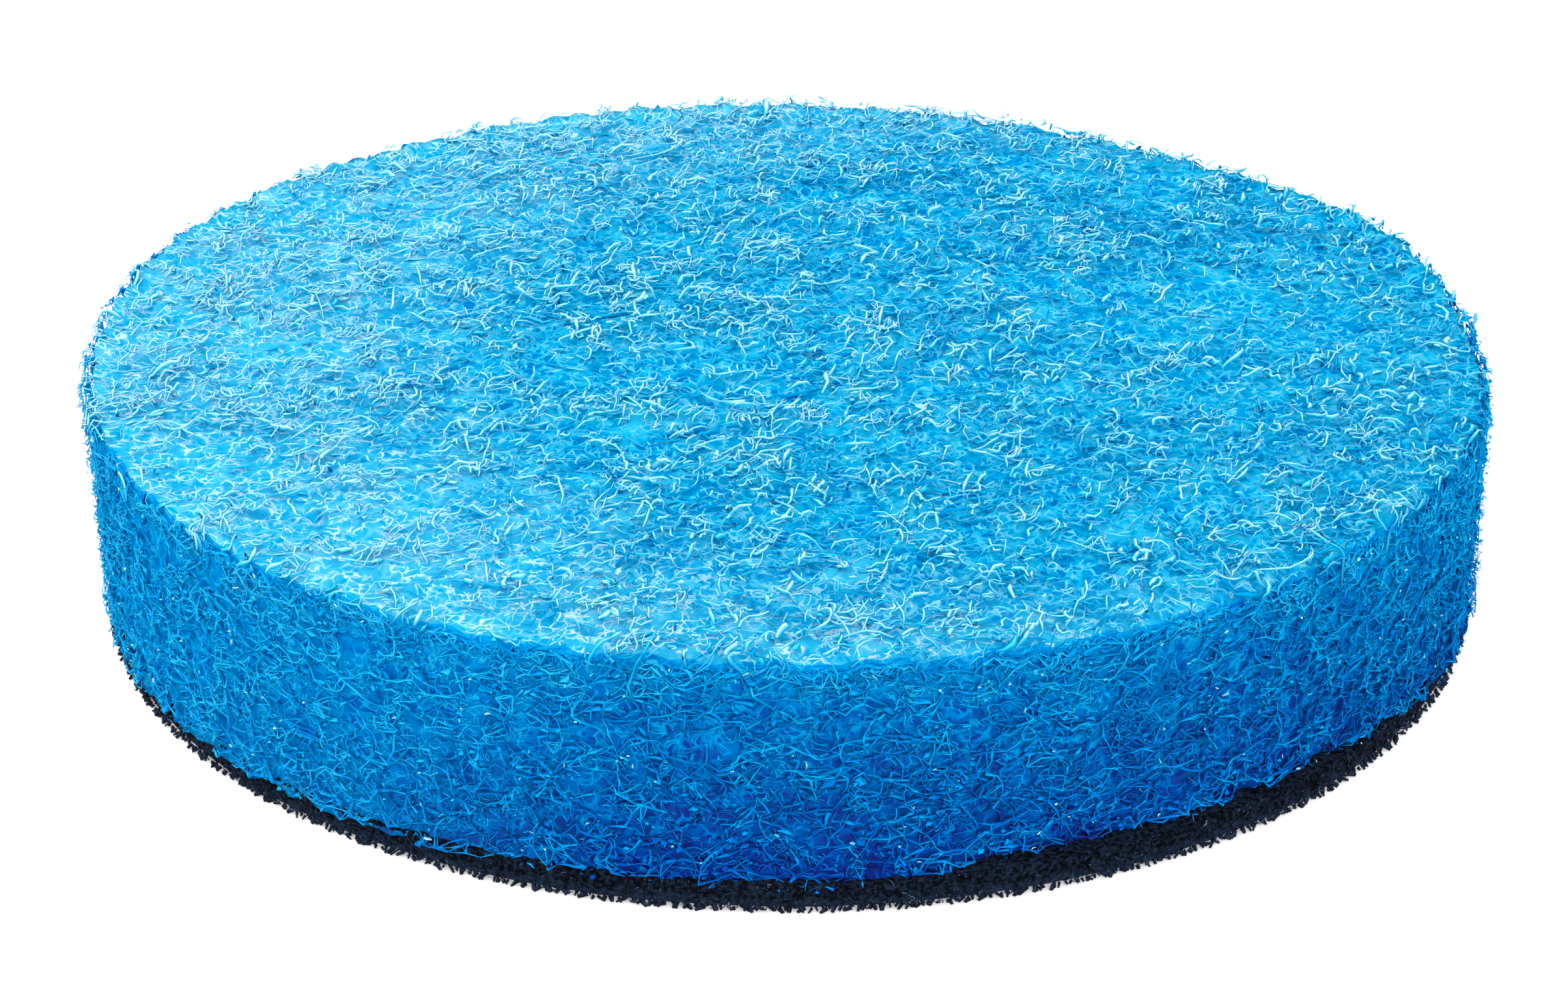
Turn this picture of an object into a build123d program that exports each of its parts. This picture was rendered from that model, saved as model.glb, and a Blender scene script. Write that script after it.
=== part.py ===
"""Round scrub pad: a blue non-woven scouring disc laminated to black loop cloth.

fibre_web is die-cut from a lofty sheet of crimped fibres that resin bonds where they cross, so its
faces are a mat of strands over small open pits, and its cut edge is ragged.  loop_backing is the
cloth whose loops grip the hook plate of a hand machine.  The two are bonded face to face.

Frame: millimetres, +Z up.  The origin is the middle of the lower face of the cloth, on which the
pad lies.
"""

from build123d import *
import os
from math import cos, pi, radians, sin, sqrt
from random import Random

# Driving dimensions
pad_diameter = 75.0
web_thickness = 11.9
cloth_diameter = 74.2
cloth_thickness = 1.5
cloth_middle = Vector(0.25, -0.3, 0)  # the cloth is laminated a little off the web's middle

# The web's die-cut outline
web_radius = pad_diameter / 2
web_bottom = cloth_thickness
web_top = web_bottom + web_thickness
skin_depth = 0.6  # the matted skin lies this far under the highest strands
web_stretch = 0.25  # the web relaxes after the cut and ends this much narrower along X than along Y
web_ragged = 0.14  # the cut edge strays this far in and out
web_facets = 96
edge_break = 0.4  # loose fibres take the sharp corner off the top edge

# Strands: bundles of fibre that come up out of the skin, bend at a crimp and go down again
face_strands = 104
wall_strands = 48
strand_width = 0.9
strand_depth = 0.6  # from the crest of a strand down to its widest place
strand_reach = 3.7  # from the crimp to either end
strand_dive = 0.8  # how far an end lies below the crimp
crest_stray = 0.2  # how far the crest of a strand may lie under the highest
carding_angle = 14  # the way that most fibres lie on the face, in degrees from +X
carding_stray = 68  # how far from it a strand may lie
crimp_stray = 25  # how far either end may turn aside at the crimp
wall_margin = 1.8  # crimps on the wall keep this far from its edges
wall_stray = 24  # how far a strand on the wall may leave the level

# Pits: the three-cornered voids between crossing strands
face_pits = 110
wall_pit_rows, wall_pits_per_row = 4, 20
pit_length, pit_width, pit_depth = 3.0, 1.5, 0.9
pit_lead = 0.3  # the cutter starts this far outside the skin

# Loop cloth: a knitted ground bonded to the web, and the nap of loops under it
cloth_radius = cloth_diameter / 2
ground_thickness = 0.6
nap_thickness = cloth_thickness - ground_thickness
nap_inset = 0.25  # the nap ends this far inside the ground
cloth_facets = 108
cloth_ragged = 0.12
tuft_gaps = 72  # notches between tufts along the nap's lower edge
tuft_gap_width, tuft_gap_height, tuft_gap_depth = 0.9, 0.4, 0.7
tuft_gap_lead = 0.1  # the cutter starts this far under the nap

up = Vector(0, 0, 1)
lay = Random(20)  # one seed, so that the fibres always lie the same way


def stray(reach):
    """A random amount of up to reach, either way."""
    return lay.uniform(-reach, reach)


def heading(degrees):
    """Unit vector that lies in the face, at this angle from +X."""
    return Vector(cos(radians(degrees)), sin(radians(degrees)), 0)


def face_spot(share, reach, height):
    """Point in a random direction from the axis, where share of a disc of radius reach is inside it."""
    angle = lay.uniform(0, 2 * pi)
    r = reach * sqrt(share)
    return Vector(r * cos(angle), r * sin(angle), height)


def wall_spot(angle, height, depth):
    """Point at this height, depth inside the web's outer radius."""
    r = web_radius - depth
    return Vector(r * cos(angle), r * sin(angle), height)


def section_plane(start, along, outward):
    """Plane at start that is square to along, with its local +Y on the outward side."""
    along = along.normalized()
    return Plane(origin=start, x_dir=outward.cross(along), z_dir=along)


def ragged_outline(radius, count, ragged, stretch=0.0):
    """Corners of a nearly round outline whose cut edge strays in and out."""
    corners = []
    for i in range(count):
        angle = 2 * pi * i / count
        r = radius - stretch * cos(angle) ** 2 + stray(ragged)
        corners.append((r * cos(angle), r * sin(angle)))
    return corners


def face_strand(index):
    """Section planes of the two halves of a strand on the face, both at its crimp."""
    share = (index + 0.5) / face_strands
    crimp = face_spot(share, web_radius - strand_reach, web_top - lay.uniform(0, crest_stray))
    angle = carding_angle + stray(carding_stray)
    back = heading(angle + stray(crimp_stray)) * -strand_reach - up * strand_dive
    ahead = heading(angle + stray(crimp_stray)) * strand_reach - up * strand_dive
    return [section_plane(crimp, back, up), section_plane(crimp, ahead, up)]


def wall_strand(index):
    """Section planes of the two halves of a strand on the wall, which follows the web round."""
    turn = strand_reach / web_radius
    angle = 2 * pi * (index + stray(0.5)) / wall_strands
    height = lay.uniform(web_bottom + wall_margin, web_top - wall_margin)
    crimp = wall_spot(angle, height, lay.uniform(0, crest_stray))
    outward = Vector(cos(angle), sin(angle), 0)
    planes = []
    for way in (-turn, turn):
        climb = strand_reach * sin(radians(stray(wall_stray)))
        end = wall_spot(angle + way, height + climb, strand_dive)
        planes.append(section_plane(crimp, end - crimp, outward))
    return planes


def face_pit(index):
    """Mouth plane of a pit in the face, with its local +Z into the web."""
    share = (index + 0.5) / face_pits
    mouth = face_spot(share, web_radius - skin_depth, web_top - skin_depth + pit_lead)
    return Plane(origin=mouth, x_dir=heading(carding_angle + stray(180)), z_dir=-up)


def wall_pit(row, place):
    """Mouth plane of a pit in the wall, with its local +Z into the web.  Rows run from edge to edge."""
    angle = 2 * pi * (place + stray(0.5)) / wall_pits_per_row
    share = (row + stray(0.4)) / (wall_pit_rows - 1)
    height = web_bottom + (web_thickness - skin_depth) * share
    outward = Vector(cos(angle), sin(angle), 0)
    tilt = radians(stray(180))
    along = up.cross(outward) * cos(tilt) + up * sin(tilt)
    return Plane(origin=wall_spot(angle, height, skin_depth - pit_lead), x_dir=along, z_dir=-outward)


def tuft_gap(index):
    """Section plane of a notch in the nap's lower edge, square to the rim and inside it."""
    angle = 2 * pi * (index + stray(0.35)) / tuft_gaps
    outward = Vector(cos(angle), sin(angle), 0)
    return section_plane(cloth_middle + outward * (cloth_radius - tuft_gap_depth), outward, up)


os.makedirs("parts", exist_ok=True)

# Scouring disc
with BuildPart() as fibre_web:
    with BuildSketch(Plane.XY.offset(web_bottom)):
        Polygon(*ragged_outline(web_radius - skin_depth, web_facets, web_ragged, web_stretch), align=None)
    extrude(amount=web_thickness - skin_depth)
    chamfer(fibre_web.edges().group_by(Axis.Z)[-1], length=edge_break)

    pits = [face_pit(i) for i in range(face_pits)]
    for row in range(wall_pit_rows):
        pits += [wall_pit(row, place) for place in range(wall_pits_per_row)]
    with BuildSketch(*pits):
        Polygon(
            (-pit_length / 2, 0),
            (pit_length / 2, -pit_width / 2),
            (pit_length / 4, pit_width / 2),
            align=None,
        )
    extrude(amount=pit_lead + pit_depth, mode=Mode.SUBTRACT)

    strands = [face_strand(i) for i in range(face_strands)] + [wall_strand(i) for i in range(wall_strands)]
    with BuildSketch(*[half for strand in strands for half in strand]):
        Polygon(
            (-strand_width / 2, -strand_depth),
            (strand_width / 2, -strand_depth),
            (0, 0),
            align=None,
        )
    extrude(amount=strand_reach)
fibre_web.part.label = "fibre_web"
export_step(fibre_web.part, "parts/fibre_web.step")

# Loop cloth
with BuildPart() as loop_backing:
    with BuildSketch(Plane.XY.offset(nap_thickness)):
        with Locations(cloth_middle):
            Polygon(*ragged_outline(cloth_radius, cloth_facets, cloth_ragged), align=None)
    extrude(amount=ground_thickness)
    with BuildSketch(Plane.XY):
        with Locations(cloth_middle):
            Polygon(*ragged_outline(cloth_radius - nap_inset, cloth_facets, cloth_ragged), align=None)
    extrude(amount=nap_thickness)
    with BuildSketch(*[tuft_gap(i) for i in range(tuft_gaps)]):
        Polygon(
            (-tuft_gap_width / 2, -tuft_gap_lead),
            (tuft_gap_width / 2, -tuft_gap_lead),
            (0, tuft_gap_height),
            align=None,
        )
    extrude(amount=2 * tuft_gap_depth, mode=Mode.SUBTRACT)
loop_backing.part.label = "loop_backing"
export_step(loop_backing.part, "parts/loop_backing.step")
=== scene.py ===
"""The looks of a round scrub pad: every fibre of its blue web, and the nap of its black loop cloth.

Lengths are in metres, in the frame of the CAD model.  The disc's axis is Z and it lies on z = 0.
"""

from dataclasses import dataclass
from math import pi, radians

import bpy
import numpy as np
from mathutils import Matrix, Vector, noise
from mathutils.kdtree import KDTree


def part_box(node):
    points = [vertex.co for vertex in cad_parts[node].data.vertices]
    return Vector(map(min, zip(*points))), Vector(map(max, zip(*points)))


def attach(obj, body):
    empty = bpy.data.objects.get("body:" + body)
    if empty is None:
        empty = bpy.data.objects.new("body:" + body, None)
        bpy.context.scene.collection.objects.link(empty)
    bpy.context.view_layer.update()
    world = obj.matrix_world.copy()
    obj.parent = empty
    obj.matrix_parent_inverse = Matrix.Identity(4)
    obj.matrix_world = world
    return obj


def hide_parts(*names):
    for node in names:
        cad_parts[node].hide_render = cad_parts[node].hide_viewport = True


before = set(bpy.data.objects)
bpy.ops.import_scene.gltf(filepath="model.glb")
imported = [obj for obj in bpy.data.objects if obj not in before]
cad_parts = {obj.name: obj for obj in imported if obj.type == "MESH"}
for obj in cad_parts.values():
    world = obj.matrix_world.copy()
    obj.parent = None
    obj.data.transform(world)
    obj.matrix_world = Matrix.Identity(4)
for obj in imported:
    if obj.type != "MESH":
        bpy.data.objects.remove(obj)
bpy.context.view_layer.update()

bl_info = {
    "name": "Scrub pad",
    "version": (1, 0, 0),
    "blender": (4, 5, 0),
    "location": "3D View > Sidebar > Scrub pad",
    "description": "Lays the fibres of a non-woven scrub pad and the nap of its loop cloth",
    "category": "Add Mesh",
}

MM = 0.001
WEB_LOW, WEB_HIGH = (np.array(corner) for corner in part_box("fibre_web"))
CLOTH_LOW, CLOTH_HIGH = (np.array(corner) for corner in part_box("loop_backing"))
WEB_RADIUS = float(WEB_HIGH[0] - WEB_LOW[0]) / 2
WEB_TOP, WEB_BOTTOM = float(WEB_HIGH[2]), float(WEB_LOW[2])
WEB_THICKNESS = WEB_TOP - WEB_BOTTOM
CLOTH_TOP = float(CLOTH_HIGH[2])
CLOTH_RADIUS = float(CLOTH_HIGH[0] - CLOTH_LOW[0]) / 2
CLOTH_FOOT = np.array((*(CLOTH_LOW[:2] + CLOTH_HIGH[:2]) / 2, 0.0))  # the middle of its lower side
UP = np.array((0.0, 0.0, 1.0))
TAU = 2 * pi


def linear(hex_colour):
    """Linear RGBA of an sRGB hex colour, such as "00A4E6"."""
    channels = [int(hex_colour[i : i + 2], 16) / 255 for i in (0, 2, 4)]
    return tuple(c / 12.92 if c <= 0.04045 else ((c + 0.055) / 1.055) ** 2.4 for c in channels) + (1.0,)


def length_property(name, description, default):
    """A length that a user may change."""
    kind = dict(min=0.0, precision=5, subtype="DISTANCE", unit="LENGTH")
    return bpy.props.FloatProperty(name=name, description=description, default=default, **kind)


def angle_property(name, description, default):
    """An angle that a user may change."""
    return bpy.props.FloatProperty(name=name, description=description, default=default, subtype="ANGLE")


def colour_property(name, description, hex_colour):
    """A colour that a user may change."""
    kind = dict(size=4, min=0, max=1, subtype="COLOR", default=linear(hex_colour))
    return bpy.props.FloatVectorProperty(name=name, description=description, **kind)


# ---- settings


class WebSettings(bpy.types.PropertyGroup):
    """Sizes and colours of the blue web"""

    thickness: length_property("Fibre thickness", "Usual thickness of a coated fibre", 0.11 * MM)
    length: length_property("Fibre length", "Usual length of a fibre, from dive to dive", 2.8 * MM)
    core_depth: length_property("Core depth", "How far the matted core lies under the skin", 0.75 * MM)
    swell: length_property("Swell", "Height of the soft swells and troughs in the face", 0.22 * MM)
    void_colour: colour_property("Void", "Colour at the bottom of a void under the face", "006EBA")
    body_colour: colour_property("Body", "Colour of the matted web under the face", "00AAD8")
    pale_colour: colour_property("Pale", "Colour of thinly coated fibre", "D4EEFA")
    wall_void_colour: colour_property("Wall void", "Colour at the bottom of a void in the wall", "1C1674")
    wall_body_colour: colour_property("Wall body", "Colour of the web inside the cut", "005CC8")
    wall_bright_colour: colour_property("Wall bright", "Colour of fibre near the cut", "04A4EE")


class ClothSettings(bpy.types.PropertyGroup):
    """Sizes and colours of the black loop cloth"""

    thread: length_property("Thread thickness", "Thickness of a nap loop's yarn", 0.09 * MM)
    loop: length_property("Loop length", "Length of yarn in one nap loop", 1.5 * MM)
    ground_colour: colour_property("Ground", "Colour of the knitted ground", "04060A")
    nap_colour: colour_property("Nap", "Colour of the loops", "26344C")
    lint_colour: colour_property("Lint", "Colour of the lint that clings to the nap", "6C7E98")


class StageSettings(bpy.types.PropertyGroup):
    """Where the camera stands, and its lens"""

    lens: bpy.props.FloatProperty(
        name="Lens", description="Focal length", default=79.17, subtype="DISTANCE_CAMERA"
    )
    elevation: angle_property("Elevation", "Height of the camera over the face", radians(22.65))
    tip: angle_property("Tip", "How far the camera looks under the face's middle", 0.0481)
    distance: length_property("Distance", "From the camera to the face's middle", 4.979 * WEB_RADIUS)


# ---- noise and fibres

FIBRE_SPREAD = 0.3  # how far one fibre's thickness strays from the next one's, as a share of it
RESIN_LUMPS = 0.22  # how far it strays along one fibre, where resin gathers
THINNEST, THICKEST = 0.3, 4.0  # over a layer's usual thickness
SIDES = 3  # of a fibre, which has its first corner on the outward side


def soft_noise(points, size, seed, octaves=2):
    """Smooth noise from about -1 to 1 at each point, whose lumps are about this size."""
    shift = Vector((seed * 7.31, seed * 3.17, seed * 5.73))
    roughness, lacunarity, basis = 0.6, 2.0, "PERLIN_ORIGINAL"
    kind = (roughness, lacunarity, octaves)
    return np.array([noise.fractal(Vector(p) / size + shift, *kind, noise_basis=basis) for p in points])


def crimped_lines(rng, count, steps, length, heading, curl, loft):
    """Curves of crimped fibres: (count, steps, 3), each with its middle at 0.

    heading is the way each lies in the sheet, curl its turn from end to end and loft how steeply it
    climbs out of the sheet and back, all in radians.
    """
    along = np.linspace(-0.5, 0.5, steps)[None, :]
    turn = heading[:, None] + rng.normal(0, curl, (count, 1)) * along
    climb = rng.normal(0, 0.4 * loft, (count, 1)) + 0 * along
    # The crimp is uneven: a slow wave with a quicker one on it
    for waves in (0.6, 1.3):
        phase = rng.uniform(0, TAU, (2, count, 1))
        turn = turn + rng.normal(0, 0.25 * curl / waves, (count, 1)) * np.sin(TAU * waves * along + phase[0])
        climb = climb + rng.normal(0, loft, (count, 1)) * np.sin(TAU * waves * along + phase[1])
    step = (length / (steps - 1))[:, None]
    flat = np.cos(climb) * step
    line = np.stack((np.cos(turn) * flat, np.sin(turn) * flat, np.sin(climb) * step), 2).cumsum(1)
    return line - line.mean(1, keepdims=True)


def fold(values, limit):
    """Values that pass the limit turn back from it, as fibre does that is pressed or cut at a face."""
    return limit - np.abs(limit - values)


def bonded(rng, places, bonds):
    """Pairs of near neighbours among these places, about this many for each, as resin bonds fibres."""
    tree = KDTree(len(places))
    for i, place in enumerate(places):
        tree.insert(place, i)
    tree.balance()
    pairs = set()
    for i, place in enumerate(places):
        # Its near neighbours, but for itself and the closest
        near = [j for _, j, _ in tree.find_n(place, 8)][2:]
        pairs.update((min(i, int(j)), max(i, int(j))) for j in rng.choice(near, bonds, replace=False))
    return np.array(sorted(pairs))


def strands(rng, start, run, steps, bow, sag):
    """Strands from bond to bond: (count, steps, 3), bowed aside by a share of their length, and by sag."""
    along = np.linspace(0, 1, steps)[None, :, None]
    arch = 4 * along * (1 - along)
    aside = np.stack((-run[:, 1], run[:, 0], 0 * run[:, 0]), 1)[:, None, :]
    bent = rng.normal(0, bow, (len(run), 1, 1)) * aside
    bent[..., 2] += rng.normal(0, sag, (len(run), 1))
    return start[:, None, :] + run[:, None, :] * along + arch * bent


def thick_and_thin(rng, count, steps, thickness, ends):
    """Radius of each fibre at each point.  ends is the thickness at its ends over that at its middle."""
    each = np.exp(rng.normal(0, FIBRE_SPREAD, (count, 1)))
    lumps = np.exp(rng.normal(0, RESIN_LUMPS, (count, steps)))
    profile = 1 + (ends - 1) * np.abs(np.linspace(-1, 1, steps)) ** 3
    return thickness / 2 * np.clip(each * lumps * profile, THINNEST, THICKEST)


def tube_faces(count, steps):
    """Quads along these tubes and the caps at both ends of each, as numbers of their points."""
    first = (np.arange(count) * steps * SIDES)[:, None, None]
    base = first + (np.arange(steps - 1) * SIDES)[None, :, None]
    j = np.arange(SIDES)[None, None, :]
    k = (j + 1) % SIDES
    quads = np.stack((base + j, base + k, base + k + SIDES, base + j + SIDES), 3).reshape(-1, 4)
    start = (first[:, 0] + np.arange(SIDES)[None, :])[:, ::-1]
    end = first[:, 0] + (steps - 1) * SIDES + np.arange(SIDES)[None, :]
    return quads, np.concatenate((start, end))


def tube_map(count, steps):
    """Where those faces' corners lie in the map: a cell for each tube, with its length along u."""
    cell_shape, margin, cap = 2.5, 0.1, 0.02
    columns = int(np.ceil(np.sqrt(count / cell_shape)))
    rows = int(np.ceil(count / columns))
    cell_u = (np.arange(count) % columns)[:, None, None, None]
    cell_v = (np.arange(count) // columns)[:, None, None, None]
    along = np.arange(steps - 1)[None, :, None, None] + np.array((0, 0, 1, 1))
    around = np.arange(SIDES)[None, None, :, None] + np.array((0, 1, 1, 0))
    u = (cell_u + margin + (1 - 2 * margin) * along / (steps - 1)) / columns
    v = (cell_v + margin + (1 - 2 * margin) * around / SIDES) / rows
    quad_map = np.stack(np.broadcast_arrays(u, v), 4).reshape(-1, 2)
    ends = [(cell_u[:, 0, 0] + at + np.array((0.0, cap, cap / 2))) / columns for at in (margin, 1 - margin)]
    cap_v = [(cell_v[:, 0, 0] + 0.5 + np.array((0.0, 0.0, cap))) / rows] * 2
    cap_map = np.stack((np.concatenate(ends), np.concatenate(cap_v)), 2).reshape(-1, 2)
    return np.concatenate((quad_map, cap_map))


def tubes(name, lines, outward, radius, shade, flat=1.0, painted_underside_shade=0.35):
    """One mesh of closed tubes along these lines: (count, steps, 3), with a map cell for each.

    outward points out of the pad at each point.  radius and shade, the pallor of the coat, are given
    at each point on the outward side.  The last argument is the pallor of the inward side over that,
    painted shade under each fibre, and flat is thickness over width.
    """
    count, steps, _ = lines.shape
    tangent = np.gradient(lines, axis=1)
    tangent /= np.linalg.norm(tangent, axis=2, keepdims=True) + 1e-12
    side = np.cross(tangent, outward)
    side /= np.linalg.norm(side, axis=2, keepdims=True) + 1e-12
    over = np.cross(side, tangent)
    spin = (TAU * np.arange(SIDES) / SIDES + pi / 2)[None, None, :, None]
    round_it = np.cos(spin) * side[:, :, None, :] + flat * np.sin(spin) * over[:, :, None, :]
    vertices = (lines[:, :, None, :] + radius[:, :, None, None] * round_it).reshape(-1, 3)
    quads, caps = tube_faces(count, steps)

    mesh = bpy.data.meshes.new(name)
    mesh.vertices.add(len(vertices))
    mesh.vertices.foreach_set("co", vertices.ravel())
    corners = np.concatenate((quads.ravel(), caps.ravel()))
    mesh.loops.add(len(corners))
    mesh.loops.foreach_set("vertex_index", corners.astype(np.int32))
    starts = np.concatenate((np.arange(len(quads)) * 4, len(quads) * 4 + np.arange(len(caps)) * SIDES))
    mesh.polygons.add(len(starts))
    mesh.polygons.foreach_set("loop_start", starts.astype(np.int32))
    mesh.polygons.foreach_set("use_smooth", np.ones(len(starts), bool))
    mesh.uv_layers.new(name="OFBake")
    mesh.uv_layers["OFBake"].data.foreach_set("uv", tube_map(count, steps).ravel())
    # The first corner, on the outward side, keeps the full pallor and the others less: painted light on top
    # and painted shade underneath
    shade_points(mesh, "pallor", shade[:, :, None] * np.where(np.arange(SIDES) == 0, 1.0, painted_underside_shade))
    mesh.update(calc_edges=True)
    mesh.validate()
    return add_piece(name, mesh)


def placed(angle, r, z):
    """Points in this direction from the pad's axis, this far from it and at this height."""
    return np.stack(np.broadcast_arrays(r * np.cos(angle), r * np.sin(angle), z), -1)


def shade_points(mesh, name, values):
    """Give each point of the mesh its value of this attribute, which the material reads."""
    attribute = mesh.attributes.new(name, "FLOAT", "POINT")
    attribute.data.foreach_set("value", values.ravel().astype(np.float32))


def ring_strips(rings):
    """Quads from each of these rings of points to the next one."""
    pairs = zip(rings, rings[1:])
    return np.concatenate([np.stack((a, b, np.roll(b, -1), np.roll(a, -1)), 1) for a, b in pairs])


def fan(ring, middle):
    """Triangles from each side of this ring of points to the one in its middle."""
    return [(int(i), int(j), middle) for i, j in zip(ring, np.roll(ring, -1))]


def smooth_mesh(name, points, polygons):
    """A mesh of these polygons, shaded smooth."""
    mesh = bpy.data.meshes.new(name)
    mesh.from_pydata(points.tolist(), [], polygons)
    mesh.polygons.foreach_set("use_smooth", np.ones(len(polygons), bool))
    mesh.update()
    return mesh


def add_piece(name, mesh):
    """An object for this mesh, in the scene and riding on the pad's one body."""
    piece = bpy.data.objects.new(name, mesh)
    bpy.context.scene.collection.objects.link(piece)
    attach(piece, "root")
    return piece


# ---- the web's form

# Lobes of the form round the axis, each (height in mm, direction in radians from +X, reach in radians)
SOFT_CORNERS = ((0.3, -0.35, 0.3), (0.6, 0.4, 0.24), (0.6, 2.7, 0.35))
HANGING_FLUFF = ((0.3, -2.0, 0.35), (0.3, -1.55, 0.12))
CAUGHT_FLUFF = ((0.55, -1.2, 0.15), (0.55, -0.85, 0.2))
PRESSED_RIM = ((0.4, -1.1, 1.3),)
PROUD_RIM = ((0.5, 2.4, 0.9), (0.25, 1.8, 0.4), (0.7, 0.38, 0.3))
LEANING_WALL = ((0.45, pi, 0.5),)

CORE_CELLS = 112  # across the core's face
CORE_ROWS = 20  # down its wall


def lobes(angle, table, level=0.0):
    """This level with the table's lobes on it, in this direction from the axis."""
    for height, middle, reach in table:
        level = level + height * np.exp(-(((angle - middle + pi) % TAU - pi) / reach) ** 2)
    return level


def nibbled(angle, waves, others, shift):
    """Uneven nibbles round the web, from -1 to 1: one number of waves round it times another."""
    return np.sin(waves * angle) * np.sin(others * angle + shift)


def edge_radius(angle):
    """Radius of the die-cut web in this direction.  Three soft corners strain outwards."""
    lobed = 0.05 * np.sin(5 * angle + 1)
    return WEB_RADIUS + MM * (0.1 + lobes(angle, SOFT_CORNERS) + lobed + 0.1 * nibbled(angle, 71, 31, 2))


def lower_edge(angle):
    """Height of the web's ragged lower edge.  Its fluff hangs over the cloth, most of all at two sides."""
    ragged = nibbled(angle, 61, 23, 1) + 0.5 * np.sin(157 * angle)
    hung = lobes(angle, HANGING_FLUFF, 0.1 + 0.55 * np.cos(angle) ** 4)
    return WEB_BOTTOM + MM * (lobes(angle, CAUGHT_FLUFF) + 0.14 * ragged - hung)


def rim_fall(angle, inside):
    """How far the face lies under the web's full height, this far inside its edge.

    The cutter pressed the rim down where it came in and left it standing proud across from there.
    """
    rolled = 1.8 * MM  # how far in from the edge the rim is out of level
    pressed = lobes(angle, PRESSED_RIM, 0.05) + 0.2 * nibbled(angle, 37, 83, 1) - lobes(angle, PROUD_RIM)
    return MM * pressed * np.clip(1 - inside / rolled, 0, 1) ** 2


def rounded_wall(z):
    """How far the wall lies inside the web's edge at this height, up where it turns over to the face."""
    return 0.3 * MM * np.clip(1 - (WEB_TOP - z) / (1.2 * MM), 0, 1) ** 2


def undercut(angle, z):
    """How far the wall leans in under the face's edge at the pad's -X side, where the cutter ran out."""
    return MM * lobes(angle, LEANING_WALL) * np.clip((WEB_TOP - z) / WEB_THICKNESS, 0, 1)


def swells(points):
    """Soft swells and troughs of the face, from about -1 to 1, drawn out along the carding."""
    stretched = np.array(points, float)
    stretched[:, 0] *= 0.45
    return soft_noise(stretched, 7 * MM, 2, 2)


def face_clouds(spots):
    """How thickly fibre lies in this part of the face, from about -1 to 1.  The spots have z = 0."""
    return soft_noise(spots, 2.4 * MM, 3, 3)


def wall_clouds(places):
    """How thickly fibre lies in this part of the wall, from about -1 to 1."""
    return soft_noise(places, 1.7 * MM, 4, 3)


def disc_grid(cells):
    """Direction and share of the radius of a disc's points, in an even square grid drawn out round."""
    across = np.linspace(-1, 1, cells + 1)
    x, y = (g.ravel() for g in np.meshgrid(across, across, indexing="ij"))
    wide = np.abs(x) >= np.abs(y)
    r = np.where(wide, x, y)
    with np.errstate(divide="ignore", invalid="ignore"):
        turn = np.where(wide, pi / 4 * np.nan_to_num(y / x), pi / 2 - pi / 4 * np.nan_to_num(x / y))
    return np.arctan2(r * np.sin(turn), r * np.cos(turn)), np.abs(r)


def core_face(depth, swell):
    """Points of the core's face, how cloudy each is, its cells, and the ring of points at its rim."""
    angle, share = disc_grid(CORE_CELLS)
    inside = (1 - share) * WEB_RADIUS
    r = share * (edge_radius(angle) - depth)
    points = placed(angle, r, 0.0)
    clouds = face_clouds(points)
    dent = swell * swells(points) + 0.25 * MM * soft_noise(points, 0.9 * MM, 5, 3) + 0.2 * MM * clouds
    # The core comes up a little towards its rim, and is smoother there
    clear = np.clip(inside / (1.2 * MM), 0, 1)
    points[:, 2] = WEB_TOP - 0.8 * depth * (0.7 + 0.3 * clear) + dent * (0.2 + 0.8 * clear)
    points[:, 2] -= rim_fall(angle, inside)
    grid = np.arange(len(points)).reshape(CORE_CELLS + 1, CORE_CELLS + 1)
    cells = np.stack((grid[:-1, :-1], grid[1:, :-1], grid[1:, 1:], grid[:-1, 1:]), 2).reshape(-1, 4)
    rim = np.concatenate((grid[:-1, 0], grid[-1, :-1], grid[:0:-1, -1], grid[0, :0:-1]))
    return points, clouds, cells, rim


def core_wall(depth, rim):
    """Rows of points of the core's wall, down from these points of its rim, and how cloudy each is."""
    angle = np.arctan2(rim[:, 1], rim[:, 0])[None, :]
    down = np.arange(1, CORE_ROWS + 1)[:, None] / CORE_ROWS
    z = rim[:, 2][None, :] * (1 - down) + (lower_edge(angle) + 0.1 * MM) * down
    round_wall = placed(angle, WEB_RADIUS, z).reshape(-1, 3)
    bump = (0.2 * MM * soft_noise(round_wall, 0.9 * MM, 9, 3)).reshape(z.shape)
    # The lowest fluff bulges out over the cloth's rim
    bulge = 0.5 * MM * np.clip((WEB_BOTTOM + 0.2 * MM - z) / (0.4 * MM), 0, 1)
    r = edge_radius(angle) - depth + bump + bulge - undercut(angle, z)
    return placed(angle, r, z).reshape(-1, 3), wall_clouds(round_wall)


class ADD_OT_web_core(bpy.types.Operator):
    """Add the matted inside of the web, which shows at the bottom of the voids"""

    bl_idname = "mesh.scrub_web_core"
    bl_label = "Web core"

    def execute(self, context):
        settings = context.scene.scrub_web
        face, face_haze, cells, rim = core_face(settings.core_depth, settings.swell)
        wall, wall_haze = core_wall(settings.core_depth, face[rim])
        rings = [rim, *(len(face) + np.arange(len(wall)).reshape(CORE_ROWS, -1))]
        middle = len(face) + len(wall)
        points = np.concatenate((face, wall, [(0, 0, WEB_BOTTOM)]))
        polygons = np.concatenate((cells, ring_strips(rings))).tolist() + fan(rings[-1][::-1], middle)
        mesh = smooth_mesh("web_core", points, polygons)
        in_wall = np.arange(len(polygons)) >= len(cells)
        mesh.polygons.foreach_set("material_index", in_wall.astype(np.int32))
        shade_points(mesh, "haze", np.concatenate((face_haze, wall_haze, [0])))
        piece = add_piece("web_core", mesh)
        mesh.materials.append(face_core(settings))
        mesh.materials.append(wall_core(settings))
        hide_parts("fibre_web")
        return {"FINISHED"}


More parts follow.
